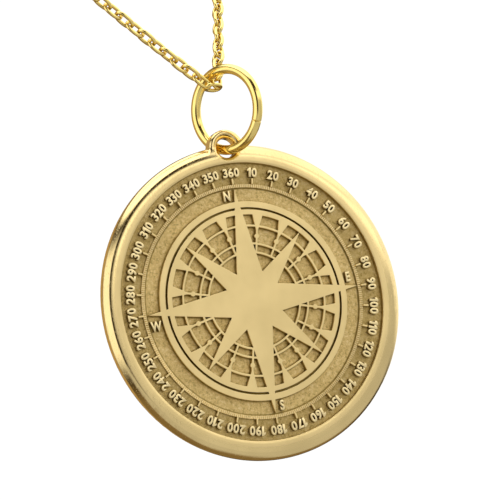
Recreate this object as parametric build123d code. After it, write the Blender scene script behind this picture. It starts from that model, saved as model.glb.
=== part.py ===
from build123d import *
import math
import os

# A compass medallion that hangs by one jump ring from a fine cable chain necklace.
# Millimetres. +Z is plumb up, +Y goes from the chest to the nape, +X is to the viewer's right.
# The origin is at the nape, in the middle of the clasp, where the necklace lies on the neck.

# Medallion: a cast disc with a softly rounded edge and an ear, in one piece
DISC_RADIUS = 12.62
THICKNESS = 1.2
EDGE_ROUND = 0.58
EAR_RADIUS = 1.48
EAR_ROUND = 0.28
EAR_HEIGHT = 12.42       # from the disc's centre to the centre of the ear's hole
EAR_NECK = 12.2          # the ear's root ends this far from the disc's centre, inside the disc's edge
EAR_BLEND = 1.0          # where the ear's outline runs into the disc
HOLE_RADIUS = 0.78
HOLE_ROUND = 0.4
YAW = 27.5               # the disc's face is turned this far from straight ahead, in degrees

# Relief: one recessed field, and raised work that ends flush with the rim
FIELD_SHIFT = -0.08      # the field isn't quite in the disc's middle, but this far along x
RECESS_RADIUS = 11.12
RECESS_DEPTH = 0.28
ROOT = 0.05              # raised work starts this far below the floor of the field
LONG_TIP = 9.0
SHORT_TIP = 7.0
NOTCH_RADIUS = 2.45
NOTCH_ANGLE = 26.7       # from the nearest long point of the star, in degrees
RAISED_RINGS = [(6.9, 7.3), (7.48, 7.96)]
ARC_RADII = [3.86, 4.56, 6.0]
LINE_WIDTH = 0.16
WEDGE_APEX = 5.37
WEDGE_BASE = 6.95
WEDGE_HALF_WIDTH = 0.45
SPOKE_ANGLES = [13.2, 32.2, 57.8, 76.8]     # in each quarter, from its first long point
SPOKE_START = 3.86
SPOKE_END = 6.0
DOT_CIRCLE = 5.18
DOT_RADIUS = 0.2
TICK_COUNT = 36
TICK_START = 9.38
TICK_END = 9.83
TICK_WIDTH = 0.13
BAND_RADII = (9.1, 9.4)
BAND_HEIGHT = 0.1

# Jump ring: closed round wire, upright in the YZ plane
WIRE_RADIUS = 0.4
RING_RADIUS = 3.22       # to the middle of the wire
RING_LEAN = 17.0         # the ear hangs this far round the ring behind its lowest point, in degrees
WIRE_DROP = 0.1          # the wire, which curves up on both sides, dips this far below the hole's middle

# Chain: a slim tube with the outer size of the links, in two halves that meet inside the ring
CHAIN_RADIUS = 0.5
RUNNING_GAP = 0.05
RING_BEND = 1.0          # the chain bends round the ring's wire, so the arc has the wire's size
ARC_SHARE = 0.45

# Points of the right half's route: from inside the ring up to the clasp at the nape
CHAIN_ROUTE = [
    (0.0, -132.0, -113.0),
    (0.7, -132.0, -113.0),
    (34.4, -112.4, -69.9),
    (53.5, -84.0, -38.5),
    (58.5, -47.0, -17.5),
    (42.0, -17.0, -5.0),
    (16.0, -2.0, -0.5),
    (4.4, 0.0, 0.0),
]

# Clasp: a plain ring with an eye on each side
CLASP_RADIUS = 2.2
CLASP_WIRE = 0.55
EYE_RADIUS = 0.75
EYE_WIRE = 0.25
EYE_PLACE = 3.35


def on_circle(radius, degrees):
    """A point of the face, with the angle counted clockwise from north as on a compass."""
    angle = math.radians(degrees)
    return (radius * math.sin(angle), radius * math.cos(angle))


def annulus(inner, outer):
    return Circle(outer) - Circle(inner)


def radial_bar(start, end, width, degrees):
    bar = Pos(0, (start + end) / 2) * Rectangle(width, end - start)
    return Rot(0, 0, -degrees) * bar


def star():
    """Eight points: four long ones, four short ones between them, and a notch on each side."""
    corners = []
    for quarter in range(4):
        north = 90 * quarter
        corners.append(on_circle(LONG_TIP, north))
        corners.append(on_circle(NOTCH_RADIUS, north + NOTCH_ANGLE))
        corners.append(on_circle(SHORT_TIP, north + 45))
        corners.append(on_circle(NOTCH_RADIUS, north + 90 - NOTCH_ANGLE))
    # The corners run clockwise, and the shape has to face up
    return Polygon(*reversed(corners), align=None)


def wedge(degrees):
    corners = [(0, WEDGE_APEX), (WEDGE_HALF_WIDTH, WEDGE_BASE), (-WEDGE_HALF_WIDTH, WEDGE_BASE)]
    return Rot(0, 0, -degrees) * Polygon(*corners, align=None)


def rose():
    """The outline of the raised compass rose, as one flat shape."""
    parts = [star()]
    for inner, outer in RAISED_RINGS:
        parts.append(annulus(inner, outer))
    for radius in ARC_RADII:
        parts.append(annulus(radius - LINE_WIDTH / 2, radius + LINE_WIDTH / 2))
    for quarter in range(4):
        for angle in SPOKE_ANGLES:
            degrees = 90 * quarter + angle
            parts.append(wedge(degrees))
            parts.append(radial_bar(SPOKE_START, SPOKE_END, LINE_WIDTH, degrees))
            parts.append(Pos(*on_circle(DOT_CIRCLE, degrees)) * Circle(DOT_RADIUS))
    return parts[0].fuse(*parts[1:])


def raised(shape, height):
    """A flat shape made into raised work that stands on the floor of the field."""
    floor = THICKNESS / 2 - RECESS_DEPTH
    return Pos(0, 0, floor - ROOT) * extrude(shape, height + ROOT)


def ear_outline():
    """The round ear, running through a blend on each side into a circle just inside the disc's edge."""
    to_disc = EAR_NECK + EAR_BLEND
    to_ear = EAR_RADIUS + EAR_BLEND
    height = (to_disc**2 - to_ear**2 + EAR_HEIGHT**2) / (2 * EAR_HEIGHT)
    blend = Vector(math.sqrt(to_disc**2 - height**2), height)
    ear = Vector(0, EAR_HEIGHT)
    on_disc = blend * (EAR_NECK / to_disc)
    on_ear = ear + (blend - ear) * (EAR_RADIUS / to_ear)
    in_blend = blend + ((on_disc + on_ear) * 0.5 - blend).normalized() * EAR_BLEND

    def mirrored(point):
        return Vector(-point.X, point.Y)

    edges = [
        ThreePointArc(on_disc, (0, -EAR_NECK), mirrored(on_disc)),
        ThreePointArc(mirrored(on_disc), mirrored(in_blend), mirrored(on_ear)),
        ThreePointArc(mirrored(on_ear), (0, EAR_HEIGHT + EAR_RADIUS), on_ear),
        ThreePointArc(on_ear, in_blend, on_disc),
    ]
    return make_face(edges)


def rounded_plate(shape, radius):
    """A flat shape of the disc's thickness with both its edges rounded."""
    body = Pos(0, 0, -THICKNESS / 2) * extrude(shape, THICKNESS)
    faces = body.faces().sort_by(Axis.Z)
    return fillet(faces[0].edges() + faces[-1].edges(), radius)


def blank():
    """The disc with its ear and the hole, before the field is cut."""
    body = rounded_plate(Circle(DISC_RADIUS), EDGE_ROUND) + rounded_plate(ear_outline(), EAR_ROUND)
    body -= Pos(0, EAR_HEIGHT) * Cylinder(HOLE_RADIUS, 2 * THICKNESS)
    mouths = [e for e in body.edges().filter_by(GeomType.CIRCLE) if abs(e.radius - HOLE_RADIUS) < 1e-6]
    return fillet(mouths, HOLE_ROUND)


def medallion():
    field = Pos(0, 0, THICKNESS / 2 - RECESS_DEPTH) * extrude(Circle(RECESS_RADIUS), THICKNESS)
    ticks = [radial_bar(TICK_START, TICK_END, TICK_WIDTH, i * 360 / TICK_COUNT) for i in range(TICK_COUNT)]
    pieces = [raised(rose(), RECESS_DEPTH)]
    pieces.append(raised(annulus(*BAND_RADII), BAND_HEIGHT))
    pieces += [raised(tick, RECESS_DEPTH) for tick in ticks]
    shift = Pos(FIELD_SHIFT, 0, 0)
    return (blank() - shift * field).fuse(*[shift * piece for piece in pieces])


def route_radii(points):
    """As large an arc at each corner as its two runs allow. The first one goes round the ring's wire."""
    radii = []
    for before, here, after in zip(points, points[1:], points[2:]):
        run_in = Vector(*here) - Vector(*before)
        run_out = Vector(*after) - Vector(*here)
        half_turn = math.radians(run_in.get_angle(run_out) / 2)
        radii.append(ARC_SHARE * min(run_in.length, run_out.length) / math.tan(half_turn))
    radii[0] = RING_BEND
    return radii


def chain_half(side):
    """side is 1 for the right half and -1 for the left half."""
    points = [(side * x, y, z) for x, y, z in CHAIN_ROUTE]
    radii = route_radii(points)
    path = FilletPolyline(*points, radius=radii)
    section = Plane(origin=path @ 0, z_dir=path % 0) * Circle(CHAIN_RADIUS)
    tube = sweep(section, path=path)
    if side > 0:
        print("chain radii", [round(r, 1) for r in radii])
        print("chain half length", round(path.length, 2))
        print("volume over section times length", tube.volume / (math.pi * CHAIN_RADIUS**2 * path.length))
    return tube


# Places in the necklace's frame, worked out from the ring up and down
crossing = Vector(*CHAIN_ROUTE[0])
chain_to_wire = WIRE_RADIUS + CHAIN_RADIUS + RUNNING_GAP
lean = math.radians(RING_LEAN)
drop = RING_RADIUS * math.sin(lean)
chain_reach = RING_RADIUS - chain_to_wire
ring_centre = crossing - Vector(0, drop, math.sqrt(chain_reach**2 - drop**2))
wire_in_ear = ring_centre + Vector(0, drop, -RING_RADIUS * math.cos(lean))
ear_hole = wire_in_ear + Vector(0, 0, WIRE_DROP)

yaw = math.radians(YAW)
facing = Vector(-math.sin(yaw), -math.cos(yaw), 0)
rightwards = Vector(math.cos(yaw), -math.sin(yaw), 0)
disc_centre = ear_hole - Vector(0, 0, EAR_HEIGHT)
disc_plane = Plane(origin=disc_centre, x_dir=rightwards, z_dir=facing)


def jump_ring():
    return Plane(origin=ring_centre, z_dir=(1, 0, 0)) * Torus(RING_RADIUS, WIRE_RADIUS)


def clasp():
    upright = Rot(90, 0, 0)
    ring = upright * Torus(CLASP_RADIUS, CLASP_WIRE)
    eyes = [Pos(side * EYE_PLACE, 0, 0) * upright * Torus(EYE_RADIUS, EYE_WIRE) for side in (-1, 1)]
    return ring.fuse(*eyes)


nodes = {
    "medallion": disc_plane * medallion(),
    "jump_ring": jump_ring(),
    "chain_left": chain_half(-1),
    "chain_right": chain_half(1),
    "clasp": clasp(),
}

print("ring swings about", crossing, "and the medallion about", wire_in_ear)
print("along", (0, math.cos(lean), math.sin(lean)))
print("ring centre", ring_centre, "disc centre", disc_centre)
print("back of the disc", disc_centre - facing * (THICKNESS / 2), "facing", facing * -1)

os.makedirs("parts", exist_ok=True)
for name, solid in nodes.items():
    export_step(solid, f"parts/{name}.step")
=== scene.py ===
"""Finish, chain links, raised figures and a white studio for a gold compass medallion on its necklace.

Everything is in metres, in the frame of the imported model: +Z is plumb up, +Y goes from the chest to the nape
and +X is to the viewer's right. Settings that are lengths on the piece itself are given in millimetres.
"""

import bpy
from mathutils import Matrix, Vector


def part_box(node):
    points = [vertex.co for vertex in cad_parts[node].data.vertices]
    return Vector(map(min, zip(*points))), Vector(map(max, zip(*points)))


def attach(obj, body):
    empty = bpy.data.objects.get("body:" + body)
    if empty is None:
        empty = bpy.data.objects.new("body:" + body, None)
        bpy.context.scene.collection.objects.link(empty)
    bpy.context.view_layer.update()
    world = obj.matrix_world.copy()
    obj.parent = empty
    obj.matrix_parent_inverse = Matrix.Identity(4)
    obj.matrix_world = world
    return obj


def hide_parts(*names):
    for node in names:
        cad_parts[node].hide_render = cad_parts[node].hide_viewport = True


bl_info = {
    "name": "Compass Pendant",
    "version": (1, 0, 0),
    "blender": (4, 5, 0),
    "location": "View3D > Sidebar > Pendant",
    "description": "Dresses a gold compass medallion and its chain, and sets up a white studio round them",
    "category": "Add Mesh",
}

import math
import random

import bmesh
import bpy
import numpy as np
from bpy.props import FloatProperty, FloatVectorProperty, IntProperty, PointerProperty
from mathutils import Matrix, Vector

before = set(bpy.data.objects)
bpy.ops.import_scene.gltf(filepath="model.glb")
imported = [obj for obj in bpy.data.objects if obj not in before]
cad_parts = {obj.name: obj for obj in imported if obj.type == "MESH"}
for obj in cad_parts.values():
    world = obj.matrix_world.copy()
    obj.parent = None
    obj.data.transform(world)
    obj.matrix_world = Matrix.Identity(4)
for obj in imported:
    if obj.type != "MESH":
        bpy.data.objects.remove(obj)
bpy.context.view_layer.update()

MM = 0.001

# The medallion's own sizes, in millimetres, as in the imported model
DISC_RADIUS = 12.62
THICKNESS = 1.2
FIELD_SHIFT = -0.08
RECESS_DEPTH = 0.28
RECESS_RADIUS = 11.12
BAND_RADII = (9.1, 9.4)
BAND_HEIGHT = 0.1
YAW = 27.5
FLOOR = THICKNESS / 2 - RECESS_DEPTH
FACE = THICKNESS / 2

# The right half of the necklace's route, in millimetres, from inside the jump ring up to the clasp
CHAIN_ROUTE = [
    (0.0, -132.0, -113.0),
    (0.7, -132.0, -113.0),
    (8.3, -127.5, -103.7),
    (12.0, -125.3, -98.6),
    (34.4, -112.4, -69.9),
    (53.5, -84.0, -38.5),
    (58.5, -47.0, -17.5),
    (42.0, -17.0, -5.0),
    (16.0, -2.0, -0.5),
    (4.4, 0.0, 0.0),
]

# Letters of the four winds: their middles on the face, in millimetres, to the right and up
LETTERS = {
    "N": (-0.73, 8.51),
    "E": (8.35, 0.84),
    "S": (0.66, -8.46),
    "W": (-8.53, -0.91),
}


# Settings that a user would change


class MedallionSettings(bpy.types.PropertyGroup):
    face_colour: FloatVectorProperty(
        name="Face", description="Colour of the satin face and the raised work",
        default=(0.92, 0.72, 0.34), subtype="COLOR", min=0.0, max=1.0)
    field_colour: FloatVectorProperty(
        name="Field", description="Colour of the blasted floor between the raised work",
        default=(0.80, 0.595, 0.243), subtype="COLOR", min=0.0, max=1.0)
    figure_colour: FloatVectorProperty(
        name="Figures", description="Colour of the raised numerals, letters and degree lines",
        default=(1.0, 0.82, 0.44), subtype="COLOR", min=0.0, max=1.0)
    speck_colour: FloatVectorProperty(
        name="Specks", description="Colour of the bright specks of the blasted floor",
        default=(1.0, 0.82, 0.46), subtype="COLOR", min=0.0, max=1.0)
    # Colour of the blasted floor's pits, and of the painted shade in the relief's corners, round the raised
    # work and down the walls of the figures and degree lines
    shade_colour: FloatVectorProperty(
        name="Corners", description="Colour deep in the corners of the relief",
        default=(0.17, 0.105, 0.0), subtype="COLOR", min=0.0, max=1.0)
    edge_round: FloatProperty(
        name="Edge rounding", description="How round the relief's edges look, in millimetres",
        default=0.045, min=0.0, max=0.1)


class ScaleSettings(bpy.types.PropertyGroup):
    numeral_circle: FloatProperty(
        name="Numerals' circle", description="Radius through the middle of the numerals, in millimetres",
        default=10.33, min=9.5, max=11.0)
    numeral_height: FloatProperty(
        name="Numeral height", description="Height of a figure, in millimetres",
        default=0.73, min=0.3, max=1.0)
    numeral_stretch: FloatProperty(
        name="Stretch", description="Width of the figures over the width that the type face has",
        default=0.95, min=0.5, max=1.5)
    numeral_gap: FloatProperty(
        name="Gap", description="Clear distance between the figures of a number, in millimetres",
        default=0.03, min=0.0, max=0.3)
    numeral_weight: FloatProperty(
        name="Weight", description="How much thicker each stroke is on each side, as a share of the height",
        default=0.038, min=0.0, max=0.08)
    letter_height: FloatProperty(
        name="Letter height", description="Height of the four letters, in millimetres",
        default=0.80, min=0.3, max=1.2)
    letter_stretch: FloatProperty(
        name="Letter stretch", description="Width of the letters over the width that the type face has",
        default=0.74, min=0.5, max=1.5)
    line_width: FloatProperty(
        name="Degree line width", description="Width of the lines for single degrees, in millimetres",
        default=0.07, min=0.02, max=0.12)
    line_height: FloatProperty(
        name="Degree line height", description="How far those lines stand above their band, in millimetres",
        default=0.045, min=0.01, max=0.15)


class ChainSettings(bpy.types.PropertyGroup):
    link_length: FloatProperty(
        name="Link length", description="Outer length of a link, in millimetres",
        default=1.86, min=1.0, max=4.0)
    link_width: FloatProperty(
        name="Link width", description="Outer width of a link, in millimetres",
        default=1.20, min=0.6, max=2.0)
    wire: FloatProperty(
        name="Wire", description="Thickness of a link's wire, in millimetres",
        default=0.31, min=0.1, max=0.6)
    pitch: FloatProperty(
        name="Pitch", description="Distance from one link to the next, in millimetres",
        default=1.12, min=0.6, max=3.0)
    looseness: FloatProperty(
        name="Looseness", description="How far a link may turn in its neighbours",
        default=math.radians(9.0), subtype="ANGLE", min=0.0, max=0.5)
    first_turn: FloatProperty(
        name="First turn", description="Turn of the links round the chain's line where it leaves the ring",
        default=math.radians(15.0), subtype="ANGLE", min=-3.2, max=3.2)
    seed: IntProperty(name="Seed", description="Picks the links' small turns", default=7, min=0)
    gold_colour: FloatVectorProperty(
        name="Gold", description="Colour of the polished gold of chain, ring and clasp",
        default=(1.0, 0.79, 0.27), subtype="COLOR", min=0.0, max=1.0)


class RingSettings(bpy.types.PropertyGroup):
    seam_angle: FloatProperty(
        name="Seam", description="Place of the closed joint round the ring, from its lowest point forwards",
        default=math.radians(60.0), subtype="ANGLE", min=-3.2, max=3.2)
    seam_width: FloatProperty(
        name="Seam width", description="Width of the joint's groove, in millimetres",
        default=0.10, min=0.0, max=0.3)
    seam_depth: FloatProperty(
        name="Seam depth", description="Depth of the joint's groove, in millimetres",
        default=0.06, min=0.0, max=0.2)


class StageSettings(bpy.types.PropertyGroup):
    focal_length: FloatProperty(
        name="Focal length", description="Lens on a sensor 36 mm wide, in millimetres",
        default=165.6, min=20.0)
    backdrop: FloatProperty(
        name="Backdrop", description="Brightness of the white behind the piece",
        default=1.06, min=0.0)
    room: FloatProperty(
        name="Room", description="Brightness of the brown room between the soft boxes",
        default=0.04, min=0.0)
    boxes: FloatProperty(
        name="Soft boxes", description="Brightness of all the soft boxes together",
        default=1.0, min=0.0)


# Node helpers


def feed(tree, socket, value):
    """Links another socket to this one, or sets any other value on it."""
    if isinstance(value, bpy.types.NodeSocket):
        tree.links.new(value, socket)
    else:
        socket.default_value = value


def put(tree, kind, inputs=None, **settings):
    """Adds a node. An input is a value, or the socket that feeds it."""
    node = tree.nodes.new(kind)
    for key, value in settings.items():
        setattr(node, key, value)
    for key, value in (inputs or {}).items():
        feed(tree, node.inputs[key], value)
    return node


def math_node(tree, operation, first, *others):
    """The operation on one value, or on two, and then on the result and each further value."""
    if not others:
        return put(tree, "ShaderNodeMath", {0: first}, operation=operation).outputs[0]
    result = first
    for other in others:
        result = put(tree, "ShaderNodeMath", {0: result, 1: other}, operation=operation).outputs[0]
    return result


def ramp(tree, value, low, high, to_low=0.0, to_high=1.0, linear=False):
    """Runs from to_low to to_high as the value goes from low to high, smoothly unless it is linear."""
    inputs = {"Value": value, "From Min": low, "From Max": high, "To Min": to_low, "To Max": to_high}
    kind = "LINEAR" if linear else "SMOOTHSTEP"
    return put(tree, "ShaderNodeMapRange", inputs, interpolation_type=kind).outputs["Result"]


def mix(tree, data_type, kind, factor, first, second):
    """Runs from the first value to the second as the factor goes from 0 to 1."""
    node = put(tree, "ShaderNodeMix", data_type=data_type, clamp_factor=True)
    sockets = {socket.identifier: socket for socket in node.inputs}
    feed(tree, sockets["Factor_Float"], factor)
    feed(tree, sockets[f"A_{kind}"], first)
    feed(tree, sockets[f"B_{kind}"], second)
    return next(socket for socket in node.outputs if socket.identifier == f"Result_{kind}")


def mix_colour(tree, factor, first, second):
    return mix(tree, "RGBA", "Color", factor, first, second)


def mix_value(tree, factor, first, second):
    return mix(tree, "FLOAT", "Float", factor, first, second)


def apart(tree, first, second):
    """How far apart two values are."""
    return math_node(tree, "ABSOLUTE", math_node(tree, "SUBTRACT", first, second))


def noise(tree, vector, scale, detail, roughness=0.5):
    """A cloudy value that is 0.5 on average."""
    inputs = {"Vector": vector, "Scale": scale, "Detail": detail, "Roughness": roughness}
    return put(tree, "ShaderNodeTexNoise", inputs).outputs["Fac"]


def rgba(colour):
    return (colour[0], colour[1], colour[2], 1.0)


def new_group(name, inputs, outputs):
    """A shader node group with named sockets: its tree, its inputs' sockets and its output node."""
    tree = bpy.data.node_groups.new(name, "ShaderNodeTree")
    for socket, kind, default in inputs:
        made = tree.interface.new_socket(name=socket, in_out="INPUT", socket_type=kind)
        if default is not None:
            made.default_value = default
    for socket, kind in outputs:
        tree.interface.new_socket(name=socket, in_out="OUTPUT", socket_type=kind)
    return tree, tree.nodes.new("NodeGroupInput").outputs, tree.nodes.new("NodeGroupOutput")


# Effects that several finishes share


def face_place_group():
    """Where a point lies on the medallion: its radius and its height above mid-thickness, in millimetres."""
    outputs = [("Place", "NodeSocketVector"), ("Radius", "NodeSocketFloat"), ("Height", "NodeSocketFloat")]
    tree, _, out = new_group("face place", [], outputs)
    matrix = face_matrix()
    inputs = {
        "Vector": put(tree, "ShaderNodeTexCoord").outputs["Object"],
        "Location": matrix.translation,
        "Rotation": matrix.to_euler(),
        "Scale": (MM, MM, MM),
    }
    place = put(tree, "ShaderNodeMapping", inputs, vector_type="TEXTURE").outputs["Vector"]
    parts = put(tree, "ShaderNodeSeparateXYZ", {"Vector": place}).outputs
    flat = put(tree, "ShaderNodeCombineXYZ", {"X": parts["X"], "Y": parts["Y"]}).outputs["Vector"]
    radius = put(tree, "ShaderNodeVectorMath", {0: flat}, operation="LENGTH").outputs["Value"]
    tree.links.new(place, out.inputs["Place"])
    tree.links.new(radius, out.inputs["Radius"])
    tree.links.new(parts["Z"], out.inputs["Height"])
    return tree


def blasted_grain_group():
    """The fine grain that blasting leaves: its height, and masks of its brighter specks and darker pits."""
    cell_share, coarse_share = 0.6, 0.4
    speck_start, speck_full = 1.02, 1.25
    pit_start, pit_full = 0.98, 0.75
    inputs = [("Vector", "NodeSocketVector", None), ("Grain size", "NodeSocketFloat", 0.08)]
    outputs = [(name, "NodeSocketFloat") for name in ("Height", "Specks", "Pits")]
    tree, given, out = new_group("blasted grain", inputs, outputs)
    scale = math_node(tree, "DIVIDE", 1.0, given["Grain size"])
    coarse_scale = math_node(tree, "MULTIPLY", scale, coarse_share)
    inputs = {"Vector": given["Vector"], "Scale": scale}
    cells = put(tree, "ShaderNodeTexVoronoi", inputs, feature="SMOOTH_F1").outputs["Distance"]
    cloud = noise(tree, given["Vector"], scale, detail=4.0, roughness=0.65)
    coarse = noise(tree, given["Vector"], coarse_scale, detail=3.0)
    both = math_node(tree, "ADD", cloud, coarse)
    lumps = math_node(tree, "MULTIPLY", cells, cell_share)
    tree.links.new(math_node(tree, "ADD", lumps, cloud), out.inputs["Height"])
    tree.links.new(ramp(tree, both, speck_start, speck_full), out.inputs["Specks"])
    tree.links.new(ramp(tree, both, pit_start, pit_full), out.inputs["Pits"])
    return tree


# Three sets of hairlines: how far each is turned, in radians, and how many times as long as wide they are
HAIRLINES = ((0.4, 14.0), (1.5, 11.0), (2.5, 17.0))


def handling_marks_group():
    """Hairline scratches and soft smudges, as a mask that dulls a polish and a height for the lines."""
    line_start, line_full, line_dullness = 0.66, 0.72, 0.5
    smudge_start, smudge_full = 0.35, 0.75
    inputs = [("Vector", "NodeSocketVector", None), ("Scale", "NodeSocketFloat", 1.0)]
    outputs = [(name, "NodeSocketFloat") for name in ("Dull", "Height")]
    tree, given, out = new_group("handling marks", inputs, outputs)
    sets = []
    for turn, stretch in HAIRLINES:
        inputs = {"Vector": given["Vector"], "Rotation": (turn, turn * 2, turn)}
        inputs["Scale"] = (stretch, 1.0, stretch)
        laid = put(tree, "ShaderNodeMapping", inputs).outputs["Vector"]
        streaks = noise(tree, laid, given["Scale"], detail=2.0)
        sets.append(ramp(tree, streaks, line_start, line_full))
    lines = math_node(tree, "MAXIMUM", *sets)
    cloud = noise(tree, given["Vector"], given["Scale"], detail=3.0, roughness=0.6)
    smudges = ramp(tree, cloud, smudge_start, smudge_full)
    scratched = math_node(tree, "MULTIPLY", lines, line_dullness)
    tree.links.new(math_node(tree, "ADD", smudges, scratched), out.inputs["Dull"])
    tree.links.new(lines, out.inputs["Height"])
    return tree


def gold_tone_group():
    """Gold whose tone drifts a little over the surface, with painted shade laid on where the mask says."""
    drift_start, drift_full, drift_share = 0.3, 0.7, 0.10
    inputs = [
        ("Vector", "NodeSocketVector", None),
        ("Gold", "NodeSocketColor", None),
        ("Shade", "NodeSocketColor", None),
        ("Painted shade", "NodeSocketFloat", 0.0),
        ("Drift size", "NodeSocketFloat", 3.0),
    ]
    tree, given, out = new_group("gold tone and painted shade", inputs, [("Colour", "NodeSocketColor")])
    scale = math_node(tree, "DIVIDE", 1.0, given["Drift size"])
    cloud = noise(tree, given["Vector"], scale, detail=2.0)
    drift = ramp(tree, cloud, drift_start, drift_full, 0.0, drift_share)
    drifted = mix_colour(tree, drift, given["Gold"], given["Shade"])
    tree.links.new(mix_colour(tree, given["Painted shade"], drifted, given["Shade"]), out.inputs["Colour"])
    return tree


# What the soft box group needs to know of a box
BOX_SOCKETS = ("Middle azimuth", "Half width", "Middle elevation", "Half height", "Softness")


def soft_box_group():
    """How much of a soft box is seen in a direction. All its inputs are in degrees."""
    inputs = [(name, "NodeSocketFloat", 0.0) for name in ("Azimuth", "Elevation", *BOX_SOCKETS)]
    tree, given, out = new_group("soft box", inputs, [("Mask", "NodeSocketFloat")])

    def inside(away, half):
        beyond = math_node(tree, "DIVIDE", math_node(tree, "SUBTRACT", away, half), given["Softness"])
        return ramp(tree, beyond, 1.0, -1.0)

    turned = math_node(tree, "SUBTRACT", given["Azimuth"], given["Middle azimuth"])
    turned = put(tree, "ShaderNodeMath", {0: turned, 1: 180.0, 2: -180.0}, operation="WRAP").outputs[0]
    across = inside(math_node(tree, "ABSOLUTE", turned), given["Half width"])
    along = inside(apart(tree, given["Elevation"], given["Middle elevation"]), given["Half height"])
    tree.links.new(math_node(tree, "MULTIPLY", across, along), out.inputs["Mask"])
    return tree


GROUP_MAKERS = {
    "face place": face_place_group,
    "blasted grain": blasted_grain_group,
    "handling marks": handling_marks_group,
    "gold tone and painted shade": gold_tone_group,
    "soft box": soft_box_group,
}


def use_group(tree, name, inputs=None):
    """Adds a shared effect, built the first time that it is asked for, and gives its outputs."""
    effect = bpy.data.node_groups.get(name) or GROUP_MAKERS[name]()
    return put(tree, "ShaderNodeGroup", inputs, node_tree=effect).outputs


# Finishes


CORNER_REACH = 0.25  # of a corner's painted shade, in millimetres
RAYS = 8  # for each rounded edge and each corner's painted shade


def new_material(name):
    """A material with only its shader and its output: the material, its tree and the shader node."""
    material = bpy.data.materials.new(name)
    material.use_nodes = True
    tree = material.node_tree
    tree.nodes.clear()
    shader = put(tree, "ShaderNodeBsdfPrincipled", {"Metallic": 1.0})
    out = put(tree, "ShaderNodeOutputMaterial")
    tree.links.new(shader.outputs["BSDF"], out.inputs["Surface"])
    return material, tree, shader


def bump(tree, shader, height, distance, strength=1.0, edge_round=0.0):
    """Bumps from a height, laid over edges that look rounded by edge_round, in millimetres."""
    node = put(tree, "ShaderNodeBump", {"Height": height, "Distance": distance, "Strength": strength})
    if edge_round > 0.0:
        rounded = put(tree, "ShaderNodeBevel", {"Radius": edge_round * MM}, samples=RAYS)
        tree.links.new(rounded.outputs["Normal"], node.inputs["Normal"])
    tree.links.new(node.outputs["Normal"], shader.inputs["Normal"])


def openness(tree):
    """How open a place is: 1 on open ground, and less deep in a corner."""
    inputs = {"Distance": CORNER_REACH * MM}
    return put(tree, "ShaderNodeAmbientOcclusion", inputs, samples=RAYS).outputs["AO"]


def worn_roughness(tree, marks, dullness, smudged):
    """A roughness that the handling marks raise by up to about smudged."""
    return math_node(tree, "ADD", dullness, math_node(tree, "MULTIPLY", marks["Dull"], smudged))


def face_masks(tree, place):
    """Masks of the field, of all that lies in front of its floor, and of the flat faces front and back."""
    fade, under_floor, over_band, under_face = 0.03, 0.05, 0.02, 0.02
    radius = place["Radius"]
    height = place["Height"]
    inside = ramp(tree, radius, RECESS_RADIUS + fade, RECESS_RADIUS - fade)
    sunken = ramp(tree, height, FACE - fade, FLOOR + BAND_HEIGHT + over_band)
    in_front = math_node(tree, "GREATER_THAN", height, FLOOR - under_floor)
    field = math_node(tree, "MULTIPLY", inside, sunken, in_front)
    flat = math_node(tree, "GREATER_THAN", math_node(tree, "ABSOLUTE", height), FACE - under_face)
    return field, in_front, flat


def speckled_gold(tree, grain, field):
    """The face's gold and, in the field, the darker gold with its specks and pits."""
    settings = bpy.context.scene.pendant_medallion
    speck_share, pit_share = 0.6, 0.45
    specks = math_node(tree, "MULTIPLY", grain["Specks"], field, speck_share)
    pits = math_node(tree, "MULTIPLY", grain["Pits"], field, pit_share)
    gold = mix_colour(tree, field, rgba(settings.face_colour), rgba(settings.field_colour))
    gold = mix_colour(tree, specks, gold, rgba(settings.speck_colour))
    return mix_colour(tree, pits, gold, rgba(settings.shade_colour))


def field_shade(tree, place, field):
    """How much painted shade falls on the field: deep in its corners, outside the low band and at the band's
    inner foot, where the raised work would shade it.

    The top of the low band stays clear.
    """
    corner_start, corner_full, corner_dark = 0.92, 0.40, 0.85
    outside_fade, outside_dark = 0.05, 0.28
    foot_gap, foot_reach, foot_core, foot_dark = 0.04, 0.10, 0.02, 0.65
    clear_reach, clear_core = 0.16, 0.12
    top_start, top_full = 0.04, 0.01
    inner, outer = BAND_RADII
    top = FLOOR + BAND_HEIGHT
    corner = ramp(tree, openness(tree), corner_start, corner_full, 0.0, corner_dark)
    outside = ramp(tree, place["Radius"], outer, outer + outside_fade, 0.0, outside_dark)
    from_foot = apart(tree, place["Radius"], inner - foot_gap)
    foot = ramp(tree, from_foot, foot_reach, foot_core, 0.0, foot_dark)
    # Painted shade: the darkest of the corners, the floor outside the band and the band's foot
    dark = math_node(tree, "MULTIPLY", math_node(tree, "MAXIMUM", corner, outside, foot), field)
    from_middle = apart(tree, place["Radius"], (inner + outer) / 2)
    on_band = ramp(tree, from_middle, clear_reach, clear_core)
    on_top = ramp(tree, place["Height"], top - top_start, top - top_full)
    return mix_value(tree, math_node(tree, "MULTIPLY", on_band, on_top), dark, 0.0)


def face_roughness(tree, place, marks, field, flat):
    """Polished, but satin on the flat faces as far as the worn rim, and blasted in the field."""
    polished, satin, blasted, smudged = 0.11, 0.34, 0.50, 0.05
    worn_start, worn_full = 11.50, 11.75
    worn = ramp(tree, place["Radius"], worn_start, worn_full)
    brushed = math_node(tree, "MULTIPLY", flat, math_node(tree, "SUBTRACT", 1.0, worn))
    rough = mix_value(tree, field, mix_value(tree, brushed, polished, satin), blasted)
    return worn_roughness(tree, marks, rough, smudged)


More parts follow.
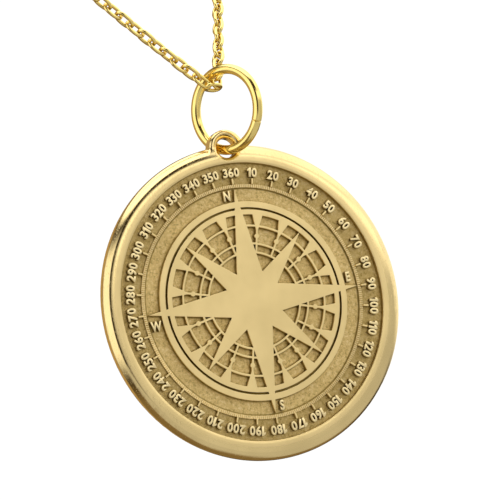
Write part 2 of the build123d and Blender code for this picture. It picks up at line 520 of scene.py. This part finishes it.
def rim_fall(tree, radius, in_front):
    """How far the worn rim falls away towards the disc's edge and, in front, towards the field.

    Its slope grows faster and faster up to the disc's rounded edge, and shrinks again from there. All of it
    is in millimetres.
    """
    start, steepest, end, slope = 11.30, 12.08, 12.60, 0.47
    inner_start, inner_slope = 11.34, 0.28
    growing = ramp(tree, radius, start, steepest, linear=True)
    shrinking = ramp(tree, radius, steepest, end, linear=True)
    inwards = ramp(tree, radius, inner_start, RECESS_RADIUS, linear=True)
    first = math_node(tree, "POWER", growing, 3.0)
    first = math_node(tree, "MULTIPLY", first, slope * (steepest - start) / 3)
    second = math_node(tree, "SUBTRACT", 1.0, math_node(tree, "MULTIPLY", shrinking, 0.5))
    second = math_node(tree, "MULTIPLY", shrinking, second, slope * (end - steepest))
    third = math_node(tree, "POWER", math_node(tree, "MULTIPLY", inwards, in_front), 2.0)
    third = math_node(tree, "MULTIPLY", third, inner_slope * (inner_start - RECESS_RADIUS) / 2)
    return math_node(tree, "ADD", first, second, third)


def face_heights(tree, place, grain, marks, field, in_front):
    """The blasted grain, the hairlines, the worn rim and the slope of the low band, in millimetres."""
    grain_height, hairline_depth = 0.03, 0.0024
    band_gap, band_rise = 0.06, 0.11
    inner, outer = BAND_RADII
    lumps = math_node(tree, "MULTIPLY", grain["Height"], field, grain_height)
    lines = math_node(tree, "MULTIPLY", marks["Height"], hairline_depth)
    fall = rim_fall(tree, place["Radius"], in_front)
    rise = ramp(tree, place["Radius"], inner - band_gap, outer, 0.0, band_rise, linear=True)
    return math_node(tree, "ADD", math_node(tree, "SUBTRACT", lumps, lines, fall), rise)


FACE_MARK_SCALE = 1.4  # how fine the handling marks are
GRAIN_SIZE = 0.09  # of the blasted field, in millimetres
FIGURE_MARGIN = 0.04  # a figure's painted shade grows from here below its top to here above the floor


def medallion_finish(name):
    """Satin face, blasted field with painted shade in its corners and round its raised work, and a polished
    edge, told apart by their place.
    """
    settings = bpy.context.scene.pendant_medallion
    material, tree, shader = new_material(name)
    place = use_group(tree, "face place")
    grain = use_group(tree, "blasted grain", {"Vector": place["Place"], "Grain size": GRAIN_SIZE})
    marks = use_group(tree, "handling marks", {"Vector": place["Place"], "Scale": FACE_MARK_SCALE})
    field, in_front, flat = face_masks(tree, place)
    tone = use_group(tree, "gold tone and painted shade", {
        "Vector": place["Place"],
        "Gold": speckled_gold(tree, grain, field),
        "Shade": rgba(settings.shade_colour),
        "Painted shade": field_shade(tree, place, field),
    })
    tree.links.new(tone["Colour"], shader.inputs["Base Color"])
    tree.links.new(face_roughness(tree, place, marks, field, flat), shader.inputs["Roughness"])
    heights = face_heights(tree, place, grain, marks, field, in_front)
    bump(tree, shader, heights, MM, edge_round=settings.edge_round)
    return material


def figure_finish(name, bright, dark):
    """Raised figures or lines: the face's satin from the height bright up, with painted shade that deepens
    down their walls to the height dark.
    """
    settings = bpy.context.scene.pendant_medallion
    satin, smudged = 0.30, 0.06
    material, tree, shader = new_material(name)
    place = use_group(tree, "face place")
    marks = use_group(tree, "handling marks", {"Vector": place["Place"], "Scale": FACE_MARK_SCALE})
    tone = use_group(tree, "gold tone and painted shade", {
        "Vector": place["Place"],
        "Gold": rgba(settings.figure_colour),
        "Shade": rgba(settings.shade_colour),
        # Painted shade down the walls, darkest where they meet the floor
        "Painted shade": ramp(tree, place["Height"], bright, dark),
    })
    tree.links.new(tone["Colour"], shader.inputs["Base Color"])
    tree.links.new(worn_roughness(tree, marks, satin, smudged), shader.inputs["Roughness"])
    return material


WIRE_PAINTED_SHADE = (0.50, 0.31, 0.04)  # colour of the painted shade where wires lie close together
WIRE_MARK_SCALE = 2.2


def polished_finish(name, dullness):
    """Polished gold wire with faint marks of wear, and painted shade where wires lie close together."""
    settings = bpy.context.scene.pendant_chain
    smudged, hairline_depth, hairline_strength = 0.06, 0.003, 0.4
    shade_start, shade_full, drift_size = 0.9, 0.1, 1.5
    material, tree, shader = new_material(name)
    inputs = {"Vector": put(tree, "ShaderNodeTexCoord").outputs["Object"], "Scale": (MM, MM, MM)}
    place = put(tree, "ShaderNodeMapping", inputs, vector_type="TEXTURE").outputs["Vector"]
    marks = use_group(tree, "handling marks", {"Vector": place, "Scale": WIRE_MARK_SCALE})
    tone = use_group(tree, "gold tone and painted shade", {
        "Vector": place,
        "Gold": rgba(settings.gold_colour),
        "Shade": rgba(WIRE_PAINTED_SHADE),
        "Painted shade": ramp(tree, openness(tree), shade_start, shade_full),
        "Drift size": drift_size,
    })
    tree.links.new(tone["Colour"], shader.inputs["Base Color"])
    tree.links.new(worn_roughness(tree, marks, dullness, smudged), shader.inputs["Roughness"])
    bump(tree, shader, marks["Height"], hairline_depth * MM, hairline_strength)
    return material


# Each finish: its maker, and the heights between which painted shade grows down the figures, or the roughness
# that it is made with
FINISHES = {
    "medallion_gold_finish": (medallion_finish, {}),
    "figure_gold_finish": (figure_finish, {"bright": FACE - FIGURE_MARGIN, "dark": FLOOR + FIGURE_MARGIN}),
    "line_gold_finish": (figure_finish, {"bright": FLOOR + BAND_HEIGHT, "dark": FLOOR}),
    "wire_gold_finish": (polished_finish, {"dullness": 0.09}),
    "link_gold_finish": (polished_finish, {"dullness": 0.12}),
}


def finish_named(name):
    """A finish, made the first time that it is asked for."""
    maker, values = FINISHES[name]
    return bpy.data.materials.get(name) or maker(name, **values)


def dress(obj, finish):
    """Gives the object one finish in place of whatever it has."""
    material = finish_named(finish)
    if obj.data.materials:
        for index in range(len(obj.data.materials)):
            obj.data.materials[index] = material
    else:
        obj.data.materials.append(material)


# Places


def face_matrix():
    """From the face's own axes, x right, y north and z facing, to the frame.

    The origin is the middle of the field, at the disc's mid-thickness.
    """
    low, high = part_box("medallion")
    centre = Vector(((low.x + high.x) / 2, (low.y + high.y) / 2, low.z + DISC_RADIUS * MM))
    turn = math.radians(YAW)
    right = Vector((math.cos(turn), -math.sin(turn), 0.0))
    facing = Vector((-math.sin(turn), -math.cos(turn), 0.0))
    matrix = Matrix((right, Vector((0.0, 0.0, 1.0)), facing)).transposed().to_4x4()
    matrix.translation = centre + right * FIELD_SHIFT * MM
    return matrix


def face_to_frame():
    """From millimetres on the face's own axes to the frame."""
    return face_matrix() @ Matrix.Diagonal((MM, MM, MM, 1.0))


def on_circle(radius, turn):
    """A point of the face, in millimetres, with the angle counted clockwise from north in radians."""
    return Vector((radius * math.sin(turn), radius * math.cos(turn), 0.0))


def add_piece(name, mesh, body, finish):
    """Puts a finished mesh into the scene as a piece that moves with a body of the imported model."""
    obj = bpy.data.objects.new(name, mesh)
    bpy.context.scene.collection.objects.link(obj)
    dress(obj, finish)
    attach(obj, body)
    return obj


# Raised figures


# Outline of the figure one, which the built-in type face draws as a bare bar, in its units
FIGURE_ONE = [(0.20, 0.0), (0.33, 0.0), (0.33, 0.70), (0.23, 0.70), (0.06, 0.57), (0.06, 0.47), (0.20, 0.55)]
DIGIT_HEIGHT = 0.70  # in the type face's units, and so is the next
FIGURE_BEVEL = 0.015
FIGURE_ROOT = 0.03  # figures start this far below the field's floor, in millimetres
WELD = 0.0005  # points nearer than this become one, in millimetres


def outline_curve(character):
    """A flat curve of one letter or figure."""
    if character != "1":
        curve = bpy.data.curves.new("figure", "FONT")
        curve.body = character
        return curve
    curve = bpy.data.curves.new("figure", "CURVE")
    curve.dimensions = "2D"
    curve.fill_mode = "BOTH"
    spline = curve.splines.new("POLY")
    spline.points.add(len(FIGURE_ONE) - 1)
    for point, (x, y) in zip(spline.points, FIGURE_ONE):
        point.co = (x, y, 0.0, 1.0)
    spline.use_cyclic_u = True
    return curve


def curve_mesh(curve):
    """The mesh that a curve makes, and the curve is removed."""
    obj = bpy.data.objects.new("curve", curve)
    mesh = bpy.data.meshes.new_from_object(obj)
    bpy.data.objects.remove(obj)
    bpy.data.curves.remove(curve)
    return mesh


def character_mesh(character, height, stretch, weight):
    """One upright letter or figure in millimetres, from its root in the field up to the face, and its width.

    It starts at x = 0 and is centred on y = 0.
    """
    rise = RECESS_DEPTH + FIGURE_ROOT
    curve = outline_curve(character)
    curve.resolution_u = 3
    curve.offset = weight * DIGIT_HEIGHT
    curve.bevel_depth = FIGURE_BEVEL
    curve.bevel_resolution = 1
    size = height / (DIGIT_HEIGHT + 2 * curve.offset)
    curve.extrude = rise / 2 / size - curve.bevel_depth
    mesh = curve_mesh(curve)
    start = min(v.co.x for v in mesh.vertices)
    width = (max(v.co.x for v in mesh.vertices) - start) * size * stretch
    mesh.transform(Matrix.Translation((-start, -DIGIT_HEIGHT / 2, 0.0)))
    mesh.transform(Matrix.Diagonal((size * stretch, size, size, 1.0)))
    mesh.transform(Matrix.Translation((0.0, 0.0, FACE - rise / 2)))
    return mesh, width


def text_mesh(text, height, stretch, weight, gap):
    """A short word or number made from single characters with the same gap between them."""
    meshes = []
    at = 0.0
    for character in text:
        mesh, width = character_mesh(character, height, stretch, weight)
        mesh.transform(Matrix.Translation((at, 0.0, 0.0)))
        meshes.append(mesh)
        at += width + gap
    joined = join_meshes("text", meshes)
    joined.transform(Matrix.Translation(((gap - at) / 2, 0.0, 0.0)))
    return joined


def join_meshes(name, meshes):
    """One mesh from several, and the several are removed."""
    bm = bmesh.new()
    for mesh in meshes:
        bm.from_mesh(mesh)
        bpy.data.meshes.remove(mesh)
    bmesh.ops.remove_doubles(bm, verts=bm.verts, dist=WELD)
    return finished_mesh(name, bm)


def finished_mesh(name, bm):
    """The mesh that was built up in bm."""
    mesh = bpy.data.meshes.new(name)
    bm.to_mesh(mesh)
    bm.free()
    return mesh


def shade_by_angle(mesh, degrees=35.0):
    mesh.shade_smooth()
    bm = bmesh.new()
    bm.from_mesh(mesh)
    for edge in bm.edges:
        edge.smooth = edge.calc_face_angle(math.pi) < math.radians(degrees)
    bm.to_mesh(mesh)
    bm.free()


def add_figures(name, meshes):
    """One piece of the figures in the meshes, which lie on the face in its own millimetres."""
    mesh = join_meshes(name, meshes)
    mesh.transform(face_to_frame())
    shade_by_angle(mesh)
    add_piece(name, mesh, "pendant", "figure_gold_finish")


LINE_MARGINS = (0.03, 0.01)  # from the band's inner and outer edge to a line's ends, in millimetres
LINE_ROOT = 0.02  # the lines start this far below the top of the band, in millimetres
LINE_BEVEL = 0.012  # in millimetres


def degree_line_mesh(settings):
    """The lines for single degrees, as boxes on the low band."""
    inner = BAND_RADII[0] + LINE_MARGINS[0]
    outer = BAND_RADII[1] - LINE_MARGINS[1]
    top = FLOOR + BAND_HEIGHT + settings.line_height
    foot = FLOOR + BAND_HEIGHT - LINE_ROOT
    size = (settings.line_width, outer - inner, top - foot)
    middle = Matrix.Translation((0.0, (inner + outer) / 2, (top + foot) / 2))
    bm = bmesh.new()
    for degree in range(360):
        place = Matrix.Rotation(-math.radians(degree), 4, "Z") @ middle
        box = bmesh.ops.create_cube(bm, size=1.0)["verts"]
        bmesh.ops.scale(bm, vec=size, verts=box)
        bmesh.ops.transform(bm, matrix=place, verts=box)
    mesh = finished_mesh("degree_lines", bm)
    mesh.transform(face_to_frame())
    return mesh


# Round wire


def unit(vector):
    return vector / np.linalg.norm(vector)


def wire_circle(centre, outward, sideways, radius, sides):
    """The points round a wire at one place along it."""
    turns = [math.tau * j / sides for j in range(sides)]
    return [centre + (outward * math.cos(turn) + sideways * math.sin(turn)) * radius for turn in turns]


def wire_faces(circles, sides):
    """The four-sided faces of a closed wire, by the numbers of its points, which lie circle after circle."""
    faces = []
    for i in range(circles):
        here = i * sides
        following = (i + 1) % circles * sides
        for j in range(sides):
            next_j = (j + 1) % sides
            faces.append((here + j, following + j, following + next_j, here + next_j))
    return faces


# Chain


# Across the chain where it leaves the ring, and upwards. The links' turns are counted from there.
START_UP = (0.0, 0.44, 0.9)


def route_line(side):
    """Points close together along the smooth curve of one half of the necklace, in millimetres."""
    curve = bpy.data.curves.new("route", "CURVE")
    curve.dimensions = "3D"
    curve.resolution_u = 48
    spline = curve.splines.new("NURBS")
    spline.points.add(len(CHAIN_ROUTE) - 1)
    for point, (x, y, z) in zip(spline.points, CHAIN_ROUTE):
        point.co = (side * x, y, z, 1.0)
    spline.order_u = 3
    spline.use_endpoint_u = True
    mesh = curve_mesh(curve)
    line = np.array([v.co for v in mesh.vertices])
    bpy.data.meshes.remove(mesh)
    return line


def carried_sideways(line):
    """At each point, the line's direction and a sideways one, carried along without turning round it."""
    along = np.gradient(line, axis=0)
    along /= np.linalg.norm(along, axis=1)[:, None]
    sideways = np.zeros_like(line)
    sideways[0] = unit(np.cross(along[0], START_UP))
    for i in range(1, len(line)):
        sideways[i] = unit(sideways[i - 1] - along[i] * (sideways[i - 1] @ along[i]))
    return along, sideways


def link_shape(length, width, wire, sides=10, circles=26, fullness=2.4):
    """One oval link of round wire, lying in the XY plane along X: its points and its four-sided faces.

    A fullness of 2 gives an ellipse, and a larger one flatter sides.
    """
    half_long = (length - wire) / 2
    half_wide = (width - wire) / 2
    upwards = np.array((0.0, 0.0, 1.0))

    def signed_power(value, power):
        return math.copysign(abs(value) ** power, value)

    points = []
    for i in range(circles):
        angle = math.tau * (i + 0.5) / circles
        x = signed_power(math.cos(angle), 2 / fullness)
        y = signed_power(math.sin(angle), 2 / fullness)
        centre = np.array((x * half_long, y * half_wide, 0.0))
        outward = (signed_power(x, fullness - 1) / half_long, signed_power(y, fullness - 1) / half_wide, 0.0)
        points += wire_circle(centre, unit(np.array(outward)), upwards, wire / 2, sides)
    return np.array(points), np.array(wire_faces(circles, sides))


def chain_links(side):
    """The mesh of one half of the chain, in the frame."""
    settings = bpy.context.scene.pendant_chain
    line = route_line(side)
    along, sideways = carried_sideways(line)
    steps = np.linalg.norm(np.diff(line, axis=0), axis=1)
    at = np.concatenate(([0.0], np.cumsum(steps)))
    total = at[-1]
    count = round(total / settings.pitch)
    shape, faces = link_shape(settings.link_length, settings.link_width, settings.wire)
    dice = random.Random(settings.seed + side)
    all_points, all_faces = [], []

    def sampled(values, place):
        return np.array([np.interp(place, at, values[:, axis]) for axis in range(3)])

    # The halves meet in one link inside the ring, and it belongs to the left one
    first = 0 if side < 0 else 1
    for i in range(first, count + 1):
        place = total * i / count
        forward = unit(sampled(along, place))
        flat = sampled(sideways, place)
        flat = unit(flat - forward * (flat @ forward))
        turn = side * settings.first_turn + math.pi / 2 * i + dice.uniform(-1, 1) * settings.looseness
        across = flat * math.cos(turn) + np.cross(forward, flat) * math.sin(turn)
        axes = np.array((forward, across, np.cross(forward, across)))
        all_faces.append(faces + len(all_points) * len(shape))
        all_points.append(shape @ axes + sampled(line, place))
    mesh = bpy.data.meshes.new("chain_links")
    points = np.concatenate(all_points) * MM
    mesh.from_pydata(points.tolist(), [], np.concatenate(all_faces).tolist())
    mesh.shade_smooth()
    return mesh


# Jump ring


RING_CIRCLES = 180
RING_SIDES = 28
SEAM_CIRCLES = (-1.6, -1.0, -0.5, 0.0, 0.5, 1.0, 1.6)  # further ones at the joint, in halves of its width


def ring_mesh():
    """Round wire closed to a ring in the YZ plane, with the groove of its closed joint."""
    settings = bpy.context.scene.pendant_ring
    low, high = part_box("jump_ring")
    centre = (low + high) / 2
    wire = (high.x - low.x) / 2
    radius = (high.z - low.z) / 2 - wire
    half_width = settings.seam_width * MM / radius / 2
    turns = {math.tau * i / RING_CIRCLES for i in range(RING_CIRCLES)}
    turns |= {settings.seam_angle + half_width * share for share in SEAM_CIRCLES}
    sideways = Vector((-1.0, 0.0, 0.0))
    points = []
    for turn in sorted(turns):
        away = abs(turn - settings.seam_angle) / half_width
        dip = settings.seam_depth * MM * max(0.0, 1.0 - away)
        outward = Vector((0.0, -math.sin(turn), -math.cos(turn)))
        points += wire_circle(centre + outward * radius, outward, sideways, wire - dip, RING_SIDES)
    mesh = bpy.data.meshes.new("jump_ring_wire")
    mesh.from_pydata(points, [], wire_faces(len(turns), RING_SIDES))
    mesh.shade_smooth()
    return mesh


# Operators, one for each piece or group of like pieces


class PENDANT_OT_medallion(bpy.types.Operator):
    """Finish the cast medallion: rounded edges on its relief, satin face, blasted field and polished rim"""

    bl_idname = "pendant.medallion"
    bl_label = "Medallion"

    def execute(self, context):
        dress(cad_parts["medallion"], "medallion_gold_finish")
        return {"FINISHED"}


class PENDANT_OT_numerals(bpy.types.Operator):
    """Set the 36 numerals of the degree scale on the field, with their tops outwards"""

    bl_idname = "pendant.numerals"
    bl_label = "Numerals"

    def execute(self, context):
        settings = context.scene.pendant_scale
        meshes = []
        for degrees in range(10, 370, 10):
            turn = math.radians(degrees)
            mesh = text_mesh(str(degrees), settings.numeral_height, settings.numeral_stretch,
                             settings.numeral_weight, settings.numeral_gap)
            place = Matrix.Translation(on_circle(settings.numeral_circle, turn))
            mesh.transform(place @ Matrix.Rotation(-turn, 4, "Z"))
            meshes.append(mesh)
        add_figures("scale_numerals", meshes)
        return {"FINISHED"}


class PENDANT_OT_letters(bpy.types.Operator):
    """Set the letters of the four winds beside the star's long points"""

    bl_idname = "pendant.letters"
    bl_label = "Letters"

    def execute(self, context):
        settings = context.scene.pendant_scale
        meshes = []
        for letter, (right, up) in LETTERS.items():
            mesh = text_mesh(letter, settings.letter_height, settings.letter_stretch,
                             settings.numeral_weight, 0.0)
            mesh.transform(Matrix.Translation((right, up, 0.0)))
            meshes.append(mesh)
        add_figures("wind_letters", meshes)
        return {"FINISHED"}


class PENDANT_OT_degree_lines(bpy.types.Operator):
    """Set the fine lines for single degrees on the low band inside the scale"""

    bl_idname = "pendant.degree_lines"
    bl_label = "Degree lines"

    def execute(self, context):
        mesh = degree_line_mesh(context.scene.pendant_scale)
        lines = add_piece("degree_lines", mesh, "pendant", "line_gold_finish")
        edges = lines.modifiers.new("rounded edges", "BEVEL")
        edges.width = LINE_BEVEL * MM
        edges.segments = 1
        return {"FINISHED"}


class PENDANT_OT_jump_ring(bpy.types.Operator):
    """Bend the jump ring of polished wire, with its closed joint"""

    bl_idname = "pendant.jump_ring"
    bl_label = "Jump ring"

    def execute(self, context):
        ring = add_piece("jump_ring_wire", ring_mesh(), "ring", "wire_gold_finish")
        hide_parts("jump_ring")
        return {"FINISHED"}


class PENDANT_OT_chain(bpy.types.Operator):
    """Link up both halves of the fine cable chain"""

    bl_idname = "pendant.chain"
    bl_label = "Chain"

    def execute(self, context):
        for side, name in ((-1, "left"), (1, "right")):
            mesh = chain_links(side)
            links = add_piece(f"chain_links_{name}", mesh, "necklace", "link_gold_finish")
            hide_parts(f"chain_{name}")
        return {"FINISHED"}


class PENDANT_OT_clasp(bpy.types.Operator):
    """Polish the plain clasp at the nape"""

    bl_idname = "pendant.clasp"
    bl_label = "Clasp"

    def execute(self, context):
        dress(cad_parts["clasp"], "wire_gold_finish")
        return {"FINISHED"}


# Stage


# The camera's place and the point that it looks at, in millimetres on the face: right, up and facing
CAMERA_PLACE = (-70.8, -17.65, 165.8 + FACE)
CAMERA_AIM = (0.38, 4.01, FACE)
CAMERA_ROLL = -10.6  # about its own line of sight, in degrees

# The studio's floor, in metres: from its middle to its edge, and its height in the frame
STUDIO_FLOOR_REACH = 3.0
STUDIO_FLOOR_HEIGHT = -0.26
STUDIO_FLOOR_COLOUR = (0.86, 0.86, 0.85)
STUDIO_FLOOR_ROUGHNESS = 0.9

# Soft boxes round the piece, in degrees: azimuth from straight ahead towards +X, half its width, elevation,
# half its height and the softness of its edge. The last value is its brightness. A later one hides an earlier
# one. Between the left one and the front ones it stays dark, as round a camera, and the reflection of that
# gap draws a line along the rim.
SOFT_BOXES = {
    "back": (180.0, 36.0, 5.0, 40.0, 10.0, 0.50),
    "below": (0.0, 180.0, -66.0, 34.0, 10.0, 0.24),
    "left": (-104.0, 34.0, 12.0, 30.0, 9.0, 1.30),
    "right": (88.0, 42.0, 24.0, 34.0, 10.0, 1.20),
    "low front": (-8.0, 80.0, -46.0, 31.0, 9.0, 0.60),
    "front": (8.0, 44.0, -6.0, 30.0, 8.0, 0.68),
    "low right": (30.0, 30.0, -14.0, 22.0, 14.0, 0.58),
    "front high": (14.0, 42.0, 18.5, 8.5, 6.0, 1.50),
    "upper right": (42.0, 42.0, 42.0, 14.0, 6.0, 1.50),
    "top": (0.0, 180.0, 78.0, 22.0, 6.0, 2.00),
}
BOX_COLOUR = (1.0, 0.98, 0.95)
ROOM_COLOUR = (1.0, 0.72, 0.36)
WARM_BOXES = ("below", "back")  # these have the room's colour


def add_camera(settings):
    data = bpy.data.cameras.new("camera")
    camera = bpy.data.objects.new("camera", data)
    bpy.context.scene.collection.objects.link(camera)
    place = face_to_frame() @ Vector(CAMERA_PLACE)
    aim = face_to_frame() @ Vector(CAMERA_AIM)
    turn = (aim - place).to_track_quat("-Z", "Y").to_matrix().to_4x4()
    roll = Matrix.Rotation(math.radians(CAMERA_ROLL), 4, "Z")
    camera.matrix_world = Matrix.Translation(place) @ turn @ roll
    data.lens = settings.focal_length
    data.sensor_width = 36.0
    data.clip_start = 0.005
    data.clip_end = 20.0
    bpy.context.scene.camera = camera


def room_light(tree, room, strength):
    """The colour of the brown room with all its soft boxes, in the direction that the world is seen in."""
    direction = put(tree, "ShaderNodeTexCoord").outputs["Generated"]
    parts = put(tree, "ShaderNodeSeparateXYZ", {"Vector": direction}).outputs
    ahead = math_node(tree, "MULTIPLY", parts["Y"], -1.0)
    azimuth = math_node(tree, "DEGREES", math_node(tree, "ARCTAN2", parts["X"], ahead))
    elevation = math_node(tree, "DEGREES", math_node(tree, "ARCSINE", parts["Z"]))
    seen = rgba([room * channel for channel in ROOM_COLOUR])
    for name, (*place, brightness) in SOFT_BOXES.items():
        inputs = {"Azimuth": azimuth, "Elevation": elevation, **dict(zip(BOX_SOCKETS, place))}
        mask = use_group(tree, "soft box", inputs)["Mask"]
        tint = ROOM_COLOUR if name in WARM_BOXES else BOX_COLOUR
        light = [brightness * strength * channel for channel in tint]
        seen = mix_colour(tree, mask, seen, rgba(light))
    return seen


def white_room(settings):
    """White behind the piece for the eye, and soft boxes in a brown room for its reflections."""
    world = bpy.data.worlds.new("white room")
    bpy.context.scene.world = world
    world.use_nodes = True
    tree = world.node_tree
    tree.nodes.clear()
    seen = put(tree, "ShaderNodeLightPath").outputs["Is Camera Ray"]
    white = put(tree, "ShaderNodeBackground", {"Color": (1, 1, 1, 1), "Strength": settings.backdrop})
    room = put(tree, "ShaderNodeBackground", {"Color": room_light(tree, settings.room, settings.boxes)})
    both = put(tree, "ShaderNodeMixShader", {0: seen, 1: room.outputs[0], 2: white.outputs[0]})
    out = put(tree, "ShaderNodeOutputWorld")
    tree.links.new(both.outputs[0], out.inputs["Surface"])


def pale_floor():
    """A plain floor below the medallion, which the gold doesn't mirror."""
    bm = bmesh.new()
    bmesh.ops.create_grid(bm, x_segments=1, y_segments=1, size=STUDIO_FLOOR_REACH)
    mesh = finished_mesh("floor", bm)
    floor = bpy.data.objects.new("floor", mesh)
    floor.location = (0.0, 0.0, STUDIO_FLOOR_HEIGHT)
    floor.visible_glossy = False
    bpy.context.scene.collection.objects.link(floor)
    material, tree, shader = new_material("pale_floor")
    shader.inputs["Metallic"].default_value = 0.0
    shader.inputs["Base Color"].default_value = rgba(STUDIO_FLOOR_COLOUR)
    shader.inputs["Roughness"].default_value = STUDIO_FLOOR_ROUGHNESS
    mesh.materials.append(material)
    return floor


class PENDANT_OT_stage(bpy.types.Operator):
    """Set the camera, the pale floor, the white backdrop and the soft lights"""

    bl_idname = "pendant.stage"
    bl_label = "Stage"

    def execute(self, context):
        settings = context.scene.pendant_stage
        add_camera(settings)
        white_room(settings)
        floor = pale_floor()
        return {"FINISHED"}


class PENDANT_PT_panel(bpy.types.Panel):
    """Lists the steps in the order in which they are run"""

    bl_idname = "PENDANT_PT_panel"
    bl_label = "Compass Pendant"
    bl_space_type = "VIEW_3D"
    bl_region_type = "UI"
    bl_category = "Pendant"

    def draw(self, context):
        for operator in OPERATORS:
            self.layout.operator(operator.bl_idname)
        for name, settings in SETTINGS.items():
            box = self.layout.box()
            group_settings = getattr(context.scene, name)
            for key in settings.__annotations__:
                box.prop(group_settings, key)


SETTINGS = {
    "pendant_medallion": MedallionSettings,
    "pendant_scale": ScaleSettings,
    "pendant_chain": ChainSettings,
    "pendant_ring": RingSettings,
    "pendant_stage": StageSettings,
}

OPERATORS = [
    PENDANT_OT_medallion,
    PENDANT_OT_numerals,
    PENDANT_OT_letters,
    PENDANT_OT_degree_lines,
    PENDANT_OT_jump_ring,
    PENDANT_OT_chain,
    PENDANT_OT_clasp,
    PENDANT_OT_stage,
]


def register():
    for settings in SETTINGS.values():
        bpy.utils.register_class(settings)
    for operator in OPERATORS:
        bpy.utils.register_class(operator)
    bpy.utils.register_class(PENDANT_PT_panel)
    for name, settings in SETTINGS.items():
        setattr(bpy.types.Scene, name, PointerProperty(type=settings))


def unregister():
    for name in SETTINGS:
        delattr(bpy.types.Scene, name)
    bpy.utils.unregister_class(PENDANT_PT_panel)
    for operator in reversed(OPERATORS):
        bpy.utils.unregister_class(operator)
    for settings in reversed(SETTINGS.values()):
        bpy.utils.unregister_class(settings)


def main():
    register()
    bpy.context.scene.view_settings.view_transform = "Standard"
    for operator in OPERATORS:
        category, name = operator.bl_idname.split(".")
        getattr(getattr(bpy.ops, category), name)()


if __name__ == "__main__":
    main()
